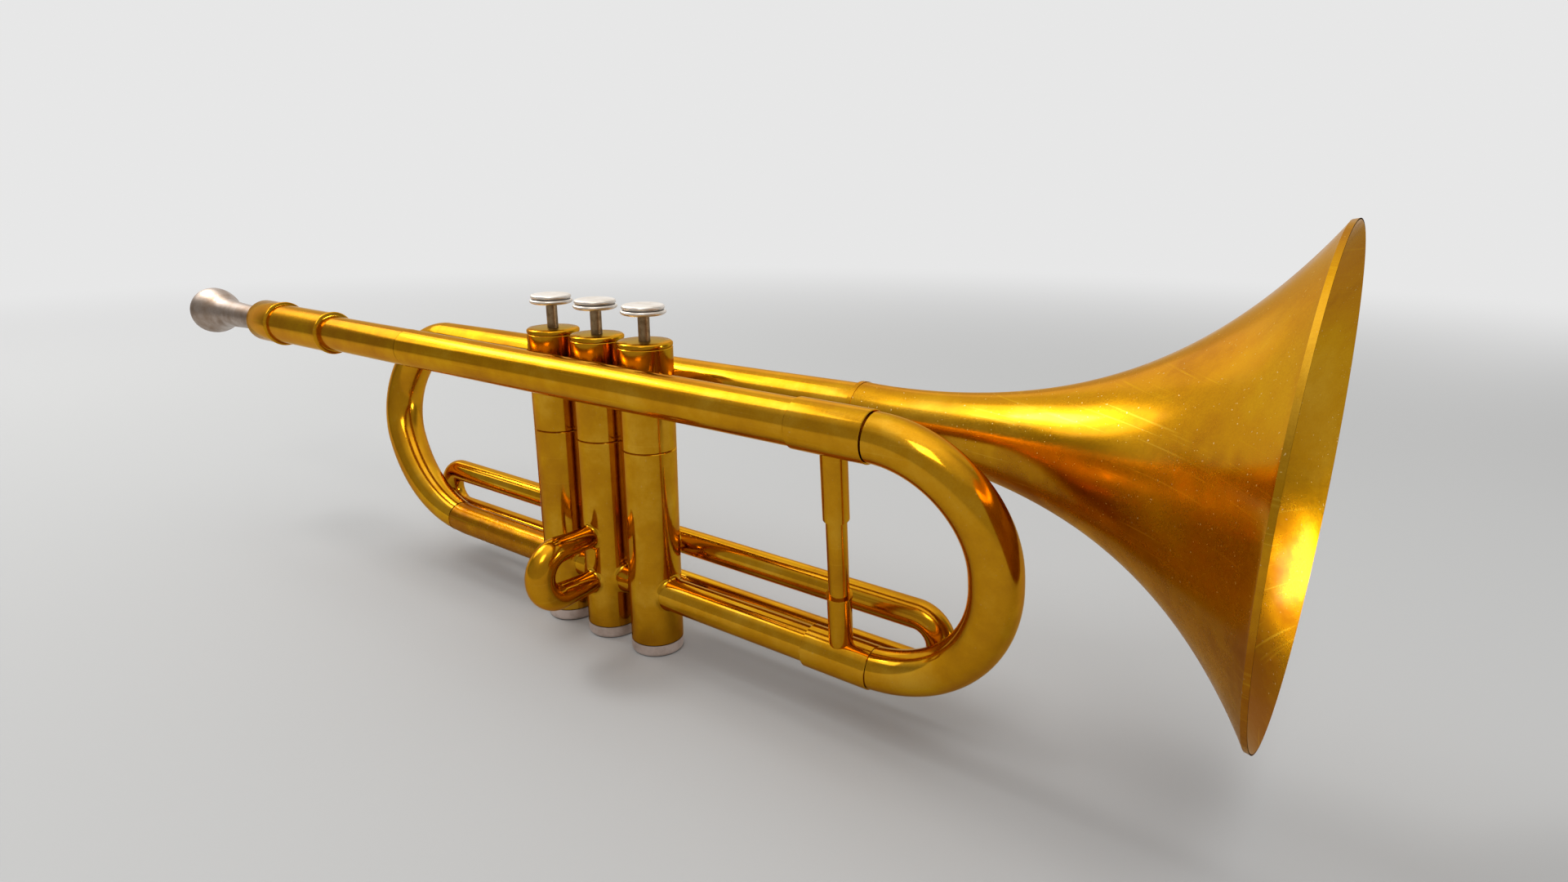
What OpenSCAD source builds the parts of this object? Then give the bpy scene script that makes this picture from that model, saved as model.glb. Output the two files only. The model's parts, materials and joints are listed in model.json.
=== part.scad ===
// Three-valve trumpet with its slides, valves and mouthpiece as separate pieces.
// The origin is the middle of the second valve's bottom cap. +X runs towards the bell, +Z up the valves.

/* [Valves] */
// Distance between valve axes
valve_spacing = 24.66; // [23.5:0.1:28]
// Outer radius of a valve casing
casing_r = 10; // [9.6:0.1:11]
// Wall of a valve casing
casing_wall = 1.5; // [1.2:0.1:2]
// Height of the joint between a casing and its bottom cap
casing_bottom_z = 4.7; // [4:0.1:5.5]
// Height of the joint between the lower and the upper casing
casing_joint_z = 80.9; // [76:0.5:84]
// Height of the joint between a casing and its top cap
casing_top_z = 118.4; // [116:0.2:126]
// Width of the small bevel on each side of a casing joint
joint_bevel = 0.35; // [0.2:0.05:0.6]
// How far a valve is pressed
valve_travel = 8.4; // [7.5:0.1:8.6]
// Height of a finger button's underside above its top cap at rest
button_rise = 9; // [8.9:0.1:14]

/* [Caps and buttons] */
// Height of a top cap above its casing
top_cap_h = 1.8; // [1.4:0.1:3]
// Bevel on a top cap's edge
top_cap_bevel = 0.6; // [0.3:0.1:1]
// Depth of a top cap's plug inside its casing
top_cap_plug = 5; // [4:0.5:7]
// Outer radius of a bottom cap
bottom_cap_r = 10.05; // [9.2:0.05:10.3]
// Thickness of a cap's end wall
cap_floor = 1.5; // [1:0.1:2.5]
// Height of a bottom cap's threaded ring inside its casing
bottom_cap_ring = 1.6; // [1:0.1:1.8]
// Radius of a finger button
button_r = 8.1; // [7.4:0.1:9]
// Height of a finger button
button_h = 4; // [3.6:0.1:5]
// Radius of a button's upper tier
button_top_r = 7.6; // [6.6:0.1:7.8]
// Radius of a valve stem
stem_r = 2.1; // [1.8:0.05:2.4]
// Gap between a stem and its hole in the top cap
stem_gap = 0.08; // [0.03:0.01:0.1]
// Thickness of the felt under a top cap
felt_h = 1.4; // [1:0.1:2.4]

/* [Pistons] */
// Gap between a piston and its casing
piston_gap = 0.05; // [0.02:0.01:0.1]
// Height of a piston's lower end at rest
piston_bottom_z = 15; // [15:0.1:15.6]
// Height of the top of a piston's ported body at rest
piston_top_z = 60; // [58:0.5:66]
// Radius of the air passages through a piston
port_r = 3.5; // [3:0.1:3.6]
// Outer radius of the spring barrel above a piston
barrel_r = 7.6; // [7.4:0.1:7.9]
// Wall of the spring barrel and of its top
barrel_wall = 0.7; // [0.5:0.1:1]
// Thickness of the plate on top of the spring barrel
barrel_plate = 2.4; // [1.8:0.1:3]
// Height of a valve guide
guide_h = 2; // [1.5:0.1:3]
// Width of a valve guide's cross bar
guide_w = 4; // [3:0.2:5]
// Depth of the notches that hold a valve guide in the casing wall
guide_notch = 0.6; // [0.3:0.1:0.8]
// Radius of a valve spring's coil, at the middle of its wire
spring_r = 5.6; // [5:0.1:5.9]
// Radius of a valve spring's wire
spring_wire_r = 0.5; // [0.35:0.05:0.6]
// Turns of a valve spring
spring_turns = 8; // [6:1:9]

/* [Mouthpipe] */
// Height of the mouthpipe's axis
lead_z = 107.1; // [105:0.1:109]
// Gap between the mouthpipe and the casings
lead_gap = 0.35; // [0.1:0.05:1]
// Radius of the mouthpipe at its joint
lead_r_back = 7.75; // [7.5:0.05:8.3]
// Radius of the mouthpipe where it enters the upper sleeve
lead_r_front = 7.25; // [7:0.05:7.5]
// Radius of the tube between the receiver and the joint
stub_r = 7.8; // [7.7:0.05:8.5]
// Place of the joint in the mouthpipe
lead_joint_x = -95; // [-110:0.5:-80]
// Radius of the passage at the mouthpipe's joint
joint_bore = 5.6; // [5:0.1:6]
// Wall of the tubes
tube_wall = 0.6; // [0.5:0.05:0.8]
// Place of the receiver's open end
receiver_x = -222.9; // [-232:0.5:-216]
// Place of the receiver's first step
receiver_step_x = -203.8; // [-210:0.2:-196]
// Place of the receiver's front end
receiver_end_x = -156.8; // [-166:0.2:-150]
// Radius of the receiver's end section
receiver_end_r = 10; // [9.6:0.1:11]
// Radius of the receiver's middle section
receiver_mid_r = 9.15; // [8.8:0.1:9.4]
// Length of tube inside the receiver's front end
receiver_lap = 8; // [6:0.5:10]
// Radius of the receiver's passage beyond its taper
receiver_bore = 4.6; // [4.4:0.1:4.8]
// Height of the rolled lip at each end of a receiver section
lip_h = 0.3; // [0.2:0.05:0.6]
// Width of the rolled lip
lip_w = 0.9; // [0.6:0.1:2.5]

/* [Mouthpiece] */
// Place of the mouthpiece's rim face
rim_x = -286; // [-294:0.5:-282]
// Radius of the mouthpiece's rim
mouth_r = 12.2; // [11.8:0.1:13.4]
// Radius of the mouthpiece's cup at its mouth
cup_r = 8.3; // [7.8:0.1:8.8]
// Depth of the mouthpiece's cup
cup_depth = 10; // [9:0.5:12]
// Radius of the mouthpiece's throat
throat_r = 1.85; // [1.6:0.05:2.2]
// Length of the mouthpiece's narrow throat
throat_len = 10; // [8:0.5:14]
// Length of the rounded rim edge
rim_edge = 4; // [3.5:0.1:4.5]
// Length of the mouthpiece's bulb, from its rim face
bulb_len = 28; // [26:0.5:30]
// Radius of the mouthpiece behind its bulb
bulb_r = 6.7; // [6.4:0.1:7]
// Radius of the shank where it enters the receiver
shank_r = 5.6; // [5.2:0.1:6]
// Radius of the shank's end inside the receiver
shank_end_r = 4.9; // [4.6:0.1:5.1]
// Length of shank inside the receiver
shank_in = 22; // [16:0.5:26]
// Gap between the shank and the receiver's taper at rest
shank_gap = 0.04; // [0.02:0.01:0.08]

/* [Lower branches and tuning slide] */
// Height of the two lower branches' axis
low_z = 25; // [24.8:0.1:26]
// Side offset of the lower branches' axis
low_y = -1; // [-2:0.1:-0.8]
// Radius of the front lower branch
branch_r = 6.2; // [6:0.1:6.4]
// Radius of the rear lower branch, on the bell's side
bell_branch_r = 6.55; // [6.2:0.05:7]
// Radius of the knuckle tubes between the casings
knuckle_r = 5.7; // [5:0.1:6]
// Radius of the upper outer sleeve
upper_sleeve_r = 7.8; // [7.7:0.05:8.4]
// Start of the upper outer sleeve
upper_sleeve_x = 104.3; // [98:0.1:106]
// Radius of the lower outer sleeve
lower_sleeve_r = 7.25; // [7.1:0.05:7.4]
// Start of the lower outer sleeve
lower_sleeve_x = 98.2; // [94:0.1:100]
// Radius of the tuning slide's bow
main_bow_r = 7.25; // [7.1:0.05:7.3]
// Place of the tuning bow's far end, on its centre line
main_bow_x = 164.9; // [158:0.1:172]
// Bend radius of the tuning bow's upper quarter
main_bow_upper = 35; // [33:0.1:36]
// Bend radius of the tuning bow's lower quarter
main_bow_lower = 46.4; // [44:0.1:47]
// Place of the lower seam between sleeve and bow
lower_seam_x = 123.2; // [121:0.1:125]
// Gap between a sleeve's end and the bow at rest
seam_gap = 0.5; // [0.2:0.05:0.6]
// Gap between a slide's inner leg and its outer leg
slide_gap = 0.06; // [0.03:0.01:0.09]
// Clearance between an inner leg's end and the tube soldered into its sleeve
leg_end_gap = 1; // [0.5:0.1:3]
// Length of the soldered lap between a tube and its sleeve
lap_len = 3; // [2:0.1:3]

/* [Brace] */
// Place of the brace's upper end on the upper sleeve's axis
brace_top_x = 116.4; // [112:0.1:120]
// Place of the brace's lower end on the lower sleeve's axis
brace_low_x = 110.2; // [107:0.1:114]
// Radius of the brace's upper socket
upper_socket_r = 4.1; // [3.9:0.05:4.6]
// Length of the brace's upper socket below the sleeve's axis
upper_socket_len = 30; // [24:0.5:34]
// Radius of the brace's rod
brace_rod_r = 3.3; // [2.8:0.05:3.6]
// Radius of the brace's lower socket
lower_socket_r = 3.95; // [3.8:0.05:4.4]
// Height of the lower socket's top above the sleeve's axis
lower_socket_top = 25.6; // [20:0.2:30]
// Radius of the lower socket's flange
socket_flange_r = 4.25; // [4.1:0.05:4.9]
// Thickness of the lower socket's flange
socket_flange_h = 0.9; // [0.6:0.1:1.4]
// Depth of the rod inside each socket
rod_seat = 6; // [4:0.5:9]

/* [Bell] */
// Gap between the bell tail and the casings
tail_gap = 0.35; // [0.2:0.05:0.8]
// Height of the bell's axis
bell_z = 102.2; // [101:0.1:103]
// Radius of the bell tail beside the casings
tail_r = 8.7; // [8.4:0.05:9]
// Radius of the bell bow
bell_bow_r = 7.6; // [7.4:0.05:8]
// Place of the bell bow's far end, on its centre line
bell_bow_x = -155.2; // [-157:0.1:-153]
// Bend radius of the bell bow's upper part
bell_bow_upper = 31.5; // [31:0.1:32.5]
// Place of the seam at the bell bow's lower end
bow_seam_x = -99; // [-104:0.5:-95]
// Where the bell tail starts to widen
tail_widen_x = 28; // [20:1:60]
// Place of the joint between the bell tail and the flare
bell_joint_x = 104.1; // [100:0.1:110]
// Radius of the bell at that joint
bell_joint_r = 10.1; // [9.9:0.05:10.4]
// Place of the bell's rim
bell_x = 230.9; // [222:0.2:240]
// Radius of the bell's rim
bell_r = 65.8; // [60:0.2:68]
// How sharply the flare opens
flare_steep = 1.84; // [1.5:0.02:2.2]
// How late the flare starts to open
flare_late = 1.38; // [1.2:0.02:1.6]
// Slope of the bell's radius at its joint
flare_slope = -0.09; // [-0.1:0.005:-0.05]
// Wall of the bell
bell_wall = 0.8; // [0.6:0.05:1.1]
// Width of the flat face around the rim
rim_face = 1.6; // [1.2:0.1:2.4]

/* [Valve slides] */
// Gap between the first and third slides' tubes and the casings
slide_side_gap = 1.2; // [1.1:0.1:2]
// Radius of the first and third slides' tubes
slide_r = 5; // [4.8:0.05:5.2]
// Height of those slides' lower legs
slide_low_z = 20; // [19.6:0.1:20.4]
// Height of those slides' upper legs
slide_high_z = 38.7; // [38:0.1:40]
// Far end of the first slide's bow, on its centre line
first_bow_x = -130.2; // [-131:0.2:-126]
// Where the first slide's bow leaves its outer legs
first_seam_x = -104; // [-108:0.5:-90]
// Far end of the third slide's bow, on its centre line
third_bow_x = 137.4; // [133:0.2:142]
// Where the third slide's bow leaves its outer legs
third_seam_x = 88; // [80:0.5:110]
// Radius of the second slide's tubes
second_r = 4.6; // [4.4:0.05:4.7]
// Height of the second slide's lower leg
second_low_z = 24; // [23.6:0.1:24.4]
// Height of the second slide's upper leg
second_high_z = 42.7; // [42:0.1:43.6]
// Far end of the second slide's bow, on its centre line
second_bow_y = -34.4; // [-40:0.2:-33]
// Where the second slide's bow leaves its outer legs
second_seam_y = -19.5; // [-21:0.5:-18]
// Length of the first slide's inner legs
first_leg_len = 40; // [30:1:50]
// Length of the second slide's inner legs
second_leg_len = 8; // [6:0.5:8]
// Length of the third slide's inner legs
third_leg_len = 50; // [40:1:55]

/* [Hidden] */
$fn = 96;
brass = [0.80, 0.58, 0.13];
silver = [0.72, 0.68, 0.66];
steel = [0.52, 0.48, 0.44];
felt_green = [0.25, 0.33, 0.26];
over = 1;

valve_x = [-valve_spacing, 0, valve_spacing];
bore_r = casing_r - casing_wall;
piston_r = bore_r - piston_gap;
cap_top_z = casing_top_z + top_cap_h;
button_z = cap_top_z + button_rise;
plug_z = casing_top_z - top_cap_plug;
felt_z = plug_z - felt_h;
barrel_top_z = felt_z - 0.3;
barrel_under_z = barrel_top_z - barrel_plate;
guide_top_z = casing_joint_z + guide_h;
lead_y = -(casing_r + lead_gap + lead_r_back);
bell_y = casing_r + tail_gap + tail_r;
slide_y = casing_r + slide_side_gap + slide_r;
main_leg_r = main_bow_r - tube_wall;
lower_leg_r = lower_sleeve_r - tube_wall - slide_gap;
upper_sleeve_bore = main_leg_r + slide_gap;
lower_sleeve_bore = lower_leg_r + slide_gap;
upper_seam_x = main_bow_x - main_bow_upper;
lower_bend_x = main_bow_x - main_bow_lower;
slide_leg_r = slide_r - tube_wall - slide_gap;
second_leg_r = second_r - tube_wall - slide_gap;

// A cylinder or ring along X, from x0 to x1, about the line through y and z.
module rod_x(x0, x1, y, z, r) {
  translate([x0, y, z]) rotate([0, 90, 0]) cylinder(r = r, h = x1 - x0);
}

module pipe_x(x0, x1, y, z, r, bore) {
  difference() {
    rod_x(x0, x1, y, z, r);
    rod_x(x0 - over, x1 + over, y, z, bore);
  }
}

// A turned piece along X: each point of the outline is [x, radius].
module turned_x(y, z, outline) {
  translate([0, y, z]) rotate([0, 90, 0]) rotate_extrude() polygon([for (p = outline) [p[1], p[0]]]);
}

// A cylinder between two points.
module rod_between(a, b, r, ext) {
  d = b - a;
  len = norm(d);
  translate(a) rotate([0, acos(d[2] / len), atan2(d[1], d[0])]) translate([0, 0, -ext])
    cylinder(r = r, h = len + 2 * ext);
}

// A quarter of a torus in the X-Z plane about its bend centre, from angle a0 upwards.
module quarter(bend, r, a0) {
  rotate([90, 0, 0]) rotate([0, 0, a0]) rotate_extrude(angle = 90) translate([bend, 0]) circle(r = r);
}

// A bow in the X-Z plane: two quarter bends joined by a straight, between legs that are height apart.
module bow_path(x_far, height, low_bend, high_bend, x_low, x_high, r) {
  translate([x_far - low_bend, 0, low_bend]) quarter(low_bend, r, -90);
  translate([x_far - high_bend, 0, height - high_bend]) quarter(high_bend, r, 0);
  if (height - low_bend - high_bend > 0.01)
    translate([x_far, 0, low_bend]) cylinder(r = r, h = height - low_bend - high_bend);
  if (x_low < x_far - low_bend) rod_x(x_low, x_far - low_bend, 0, 0, r);
  if (x_high < x_far - high_bend) rod_x(x_high, x_far - high_bend, 0, height, r);
}

module bow(x_far, height, low_bend, high_bend, x_low, x_high, r, bore) {
  difference() {
    bow_path(x_far, height, low_bend, high_bend, x_low, x_high, r);
    bow_path(x_far, height, low_bend, high_bend, x_low - over, x_high - over, bore);
  }
}

// Stands a bow's plane on the line low and leans it over to the line high, both [y, z].
module leaning(low, high) {
  translate([0, low[0], low[1]]) rotate([atan2(low[0] - high[0], high[1] - low[1]), 0, 0]) children();
}

low_line = [low_y, low_z];
lead_line = [lead_y, lead_z];
bell_line = [bell_y, bell_z];
// Heights between legs, to a hundredth of a millimetre so that bends and straights meet exactly
function hundredths(v) = round(100 * v) / 100;
main_height = hundredths(norm(lead_line - low_line));
bell_height = hundredths(norm(bell_line - low_line));
// The bell bow turns 53 degrees at its wide lower bend and the rest at its upper bend. That angle's sine
// is 0.8, so that the place where the two bends meet is a plain number.
bow_break = atan2(4, 3);
bell_bow_lower = 2.5 * bell_height - 4 * bell_bow_upper;
bow_bend_x = hundredths(-bell_bow_x - 0.8 * bell_bow_lower - 0.2 * bell_bow_upper);
bow_seam_a = asin((-bow_seam_x - bow_bend_x) / bell_bow_lower);

// Mouthpiece and mouthpipe
function shank_at(x) = shank_r + (shank_end_r - shank_r) * (x - receiver_x) / shank_in;
shank_tip_x = receiver_x + shank_in;
cup_x = rim_x + cup_depth;
function bulb_at(t) = bulb_r + (mouth_r - 0.1 - bulb_r) * (0.5 + 0.5 * cos(180 * pow(t, 1.2)));

module mouthpiece() color(silver) turned_x(lead_y, lead_z, concat(
  [[rim_x + 0.9, cup_r - 0.4], [rim_x + 0.25, cup_r + 0.5]],
  [for (i = [0 : 6]) [rim_x + rim_edge * (1 - cos(15 * i)), mouth_r - rim_edge * 0.8 * (1 - sin(15 * i))]],
  [for (i = [1 : 14]) [rim_x + rim_edge + (bulb_len - rim_edge) * i / 14, bulb_at(i / 14)]],
  [[receiver_x, shank_r], [shank_tip_x, shank_end_r], [shank_tip_x, shank_end_r - 0.7],
    [cup_x + throat_len, throat_r], [cup_x + 2, throat_r]],
  [for (i = [1 : 7]) [cup_x - cup_depth * 0.92 * i / 8,
    throat_r + (cup_r - 0.4 - throat_r) * pow(sin(90 * i / 8), 0.75)]]));

module mouthpiece_receiver() color(brass) turned_x(lead_y, lead_z, [
  [receiver_x, shank_r + shank_gap], [receiver_x, receiver_end_r - 0.6], [receiver_x + 0.6, receiver_end_r],
  [receiver_step_x, receiver_end_r], [receiver_step_x, receiver_end_r + lip_h],
  [receiver_step_x + lip_w, receiver_end_r + lip_h], [receiver_step_x + lip_w, receiver_mid_r],
  [receiver_end_x - lip_w, receiver_mid_r], [receiver_end_x - lip_w, receiver_mid_r + lip_h],
  [receiver_end_x, receiver_mid_r + lip_h], [receiver_end_x, stub_r],
  [receiver_end_x - receiver_lap, stub_r], [receiver_end_x - receiver_lap, receiver_bore],
  [shank_tip_x + 1, receiver_bore],
  [shank_tip_x + 1, shank_end_r + shank_gap], [shank_tip_x, shank_end_r + shank_gap]]);

module receiver_tube() color(brass) turned_x(lead_y, lead_z, [
  [receiver_end_x - receiver_lap, receiver_bore], [receiver_end_x - receiver_lap, stub_r],
  [lead_joint_x, stub_r], [lead_joint_x, joint_bore]]);

module leadpipe() color(brass) turned_x(lead_y, lead_z, [
  [lead_joint_x, joint_bore], [lead_joint_x, lead_r_back], [upper_sleeve_x, lead_r_front],
  [upper_sleeve_x + lap_len, lead_r_front], [upper_sleeve_x + lap_len, lead_r_front - tube_wall],
  [upper_sleeve_x, lead_r_front - tube_wall]]);

// Sleeves, lower branches and knuckles
module sleeve(x0, x1, y, z, r, bore, lap_r) {
  difference() {
    rod_x(x0, x1, y, z, r);
    rod_x(x0 - over, x1 + over, y, z, bore);
    rod_x(x0 - over, x0 + lap_len, y, z, lap_r);
  }
}

module upper_sleeve() color(brass)
  sleeve(upper_sleeve_x, upper_seam_x - seam_gap, lead_y, lead_z, upper_sleeve_r, upper_sleeve_bore, lead_r_front);

module lower_sleeve() color(brass)
  sleeve(lower_sleeve_x, lower_seam_x - seam_gap, low_y, low_z, lower_sleeve_r, lower_sleeve_bore, lower_sleeve_bore);

module casing_space(i) {
  translate([valve_x[i], 0, 0]) cylinder(r = casing_r, h = cap_top_z);
}

module front_branch() color(brass) difference() {
  union() {
    rod_x(valve_x[2], lower_sleeve_x + lap_len, low_y, low_z, branch_r);
    rod_x(lower_sleeve_x, lower_sleeve_x + lap_len, low_y, low_z, lower_sleeve_bore);
  }
  rod_x(valve_x[2] - over, lower_sleeve_x + lap_len + over, low_y, low_z, branch_r - tube_wall);
  casing_space(2);
}

module bell_branch_path(r, more) {
  rod_x(-bow_bend_x, valve_x[0] + more, low_y, low_z, r);
  leaning(low_line, bell_line) rotate([0, 0, 180]) translate([bow_bend_x, 0, bell_bow_lower]) rotate([90, 0, 0])
    rotate([0, 0, -90]) rotate_extrude(angle = bow_seam_a + more) translate([bell_bow_lower, 0]) circle(r = r);
}

module bell_branch() color(brass) difference() {
  bell_branch_path(bell_branch_r, 0);
  bell_branch_path(bell_branch_r - tube_wall, over);
  casing_space(0);
}

module knuckle(i) color(brass) difference() {
  pipe_x(valve_x[i], valve_x[i + 1], 0, low_z, knuckle_r, knuckle_r - tube_wall);
  casing_space(i);
  casing_space(i + 1);
}

// Tuning slide
module tuning_bow() color(brass) leaning(low_line, lead_line) difference() {
  bow(main_bow_x, main_height, main_bow_lower, main_bow_upper, lower_bend_x, upper_seam_x,
      main_bow_r, main_bow_r - 2 * tube_wall);
  translate([lower_bend_x - 20, -20, -20]) cube([lower_seam_x - lower_bend_x + 20, 40, 40]);
}

module tuning_upper_leg() color(brass)
  pipe_x(upper_sleeve_x + lap_len + leg_end_gap, upper_seam_x, lead_y, lead_z, main_leg_r, main_leg_r - tube_wall);

module tuning_lower_leg() color(brass)
  pipe_x(lower_sleeve_x + lap_len + leg_end_gap, lower_seam_x, low_y, low_z, lower_leg_r, lower_leg_r - tube_wall);

// Brace between the sleeves: its line runs from one sleeve's axis to the other's
brace_len = norm([brace_top_x - brace_low_x, main_height]);

module on_brace(h) {
  leaning(low_line, lead_line) translate([brace_low_x, 0, 0])
    rotate([0, atan2(brace_top_x - brace_low_x, main_height), 0]) translate([0, 0, h]) children();
}

module brace_upper_socket() color(brass) difference() {
  on_brace(brace_len - upper_socket_len) difference() {
    cylinder(r = upper_socket_r, h = upper_socket_len);
    translate([0, 0, -over]) cylinder(r = brace_rod_r, h = rod_seat + over);
  }
  rod_x(upper_sleeve_x - over, upper_seam_x, lead_y, lead_z, upper_sleeve_r);
}

module brace_rod() color(brass) on_brace(lower_socket_top - rod_seat)
  cylinder(r = brace_rod_r, h = brace_len - upper_socket_len - lower_socket_top + 2 * rod_seat);

module brace_lower_socket() color(brass) difference() {
  on_brace(0) difference() {
    union() {
      cylinder(r = lower_socket_r, h = lower_socket_top);
      translate([0, 0, lower_socket_top - socket_flange_h]) cylinder(r = socket_flange_r, h = socket_flange_h);
    }
    translate([0, 0, lower_socket_top - rod_seat]) cylinder(r = brace_rod_r, h = rod_seat + over);
  }
  rod_x(lower_sleeve_x - over, lower_seam_x, low_y, low_z, lower_sleeve_r);
}

// Bell
module bell_bow_path(r, more) {
  translate([bow_bend_x + 0.8 * bell_bow_lower, 0, 0.4 * bell_bow_lower]) rotate([0, 90 - bow_break, 0]) {
    translate([-bell_bow_lower, 0, 0]) rotate([-90, 0, 0])
      rotate_extrude(angle = bow_break - bow_seam_a + more) translate([bell_bow_lower, 0]) circle(r = r);
    translate([-bell_bow_upper, 0, 0]) rotate([90, 0, 0])
      rotate_extrude(angle = 180 - bow_break + more) translate([bell_bow_upper, 0]) circle(r = r);
  }
}

module bell_bow() color(brass) leaning(low_line, bell_line) rotate([0, 0, 180]) difference() {
  bell_bow_path(bell_bow_r, 0);
  bell_bow_path(bell_branch_r - tube_wall / 2, over);
}

tail_x = bell_bow_x + bell_bow_upper;
module bell_tail() color(brass) turned_x(bell_y, bell_z, [
  [tail_x, bell_bow_r - tube_wall], [tail_x, bell_bow_r], [-2 * valve_spacing, tail_r], [tail_widen_x, tail_r],
  [bell_joint_x, bell_joint_r - tube_wall], [bell_joint_x, bell_joint_r - 2 * tube_wall],
  [tail_widen_x, tail_r - tube_wall], [-2 * valve_spacing, tail_r - tube_wall]]);

module bell_ferrule() color(brass) turned_x(bell_y, bell_z, [
  [bell_joint_x - 1.6, bell_joint_r - tube_wall], [bell_joint_x - 1.6, bell_joint_r + 0.15],
  [bell_joint_x, bell_joint_r + 0.15], [bell_joint_x, bell_joint_r - tube_wall]]);

// Outer radius of the bell at x, and the slope of that outline
function flare_part(q) = (exp(flare_steep * pow(q, flare_late)) - 1) / (exp(flare_steep) - 1);
function flare_r(x) = let (q = (x - bell_joint_x) / (bell_x - bell_joint_x))
  bell_joint_r + flare_slope * (x - bell_joint_x)
  + (bell_r - bell_joint_r - flare_slope * (bell_x - bell_joint_x)) * flare_part(q);
function flare_rise(x) = (flare_r(x + 0.1) - flare_r(x - 0.1)) / 0.2;
flare_steps = 30;
function flare_x(i) = bell_joint_x + (bell_x - bell_joint_x) * (1 - pow(1 - i / flare_steps, 1.5));

module bell_flare() color(brass) turned_x(bell_y, bell_z, concat(
  [for (i = [0 : flare_steps]) [flare_x(i), flare_r(max(flare_x(i), bell_joint_x))]],
  [[bell_x, bell_r - rim_face]],
  [for (i = [flare_steps - 2 : -1 : 1]) [flare_x(i),
    flare_r(flare_x(i)) - bell_wall * sqrt(1 + pow(flare_rise(flare_x(i)), 2))]],
  [[bell_joint_x, bell_joint_r - bell_wall]]));

// Casings and caps
module ports(i, side, high_z, low_port_z) {
  for (z = [high_z, low_port_z])
    rod_between([0, 0, z], [0, side * (casing_r + over), z], port_r, 0);
  rod_between([-casing_r - over, 0, low_z], [casing_r + over, 0, low_z], port_r, 0);
}

module valve_casing(i, side, high_z, low_port_z) color(brass) translate([valve_x[i], 0, 0]) difference() {
  rotate_extrude() polygon([
    [bore_r, casing_bottom_z], [casing_r - joint_bevel, casing_bottom_z], [casing_r, casing_bottom_z + joint_bevel],
    [casing_r, casing_joint_z - joint_bevel], [casing_r - joint_bevel, casing_joint_z], [bore_r, casing_joint_z]]);
  ports(i, side, high_z, low_port_z);
}

module upper_casing(i) color(brass) translate([valve_x[i], 0, 0]) difference() {
  rotate_extrude() polygon([
    [bore_r, casing_joint_z], [casing_r - joint_bevel, casing_joint_z], [casing_r, casing_joint_z + joint_bevel],
    [casing_r, casing_top_z - joint_bevel], [casing_r - joint_bevel, casing_top_z], [bore_r, casing_top_z]]);
  translate([-bore_r - guide_notch, -guide_w / 2, casing_joint_z - over])
    cube([2 * (bore_r + guide_notch), guide_w, guide_h + over]);
}

module top_cap(i) color(brass) translate([valve_x[i], 0, 0]) rotate_extrude() polygon([
  [stem_r + stem_gap, plug_z], [bore_r, plug_z], [bore_r, casing_top_z], [casing_r - joint_bevel, casing_top_z],
  [casing_r, casing_top_z + joint_bevel], [casing_r, cap_top_z - top_cap_bevel],
  [casing_r - top_cap_bevel, cap_top_z], [stem_r + stem_gap, cap_top_z]]);

module bottom_cap(i) color(silver) translate([valve_x[i], 0, 0]) rotate_extrude() polygon([
  [0, 0], [bottom_cap_r - 0.8, 0], [bottom_cap_r - 0.3, 0.45], [bottom_cap_r, 1.3], [bottom_cap_r, casing_bottom_z],
  [bore_r, casing_bottom_z], [bore_r, casing_bottom_z + bottom_cap_ring],
  [bore_r - casing_wall, casing_bottom_z + bottom_cap_ring], [bore_r - casing_wall, cap_floor], [0, cap_floor]]);

module cap_felts() color(felt_green) for (x = valve_x) translate([x, 0, felt_z]) difference() {
  cylinder(r = bore_r - 1.2, h = felt_h);
  translate([0, 0, -over]) cylinder(r = stem_r + 0.6, h = felt_h + 2 * over);
}

// Valves
module piston(i, side, high_z, low_port_z) color(silver) translate([valve_x[i], 0, 0]) difference() {
  union() {
    translate([0, 0, piston_bottom_z]) cylinder(r = piston_r, h = piston_top_z - piston_bottom_z);
    difference() {
      translate([0, 0, piston_top_z]) cylinder(r = barrel_r, h = barrel_top_z - piston_top_z);
      translate([0, 0, piston_top_z - over]) cylinder(r = barrel_r - barrel_wall, h = barrel_under_z - piston_top_z + over);
    }
  }
  rod_between([-piston_r, 0, low_z], [piston_r, 0, low_z], port_r, over);
  rod_between([piston_r, 0, low_z + valve_travel], [0, side * piston_r, low_port_z + valve_travel], port_r, 3);
  rod_between([-piston_r, 0, low_z + valve_travel], [0, side * piston_r, high_z + valve_travel], port_r, 3);
  translate([-barrel_r - over, -guide_w / 2 - 0.3, casing_joint_z - 0.4])
    cube([2 * (barrel_r + over), guide_w + 0.6, guide_h + valve_travel + 0.8]);
  translate([0, 0, barrel_under_z - over]) cylinder(r = stem_r, h = barrel_plate + 2 * over);
}

module valve_guide(i) color(steel) translate([valve_x[i], 0, casing_joint_z]) {
  intersection() {
    translate([-casing_r, -guide_w / 2, 0]) cube([2 * casing_r, guide_w, guide_h]);
    cylinder(r = bore_r + guide_notch, h = guide_h);
  }
  cylinder(r = barrel_r - barrel_wall - 0.4, h = guide_h);
}

module valve_stem(i) color(steel) translate([valve_x[i], 0, barrel_under_z])
  cylinder(r = stem_r, h = button_z + 1.4 - barrel_under_z);

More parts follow.
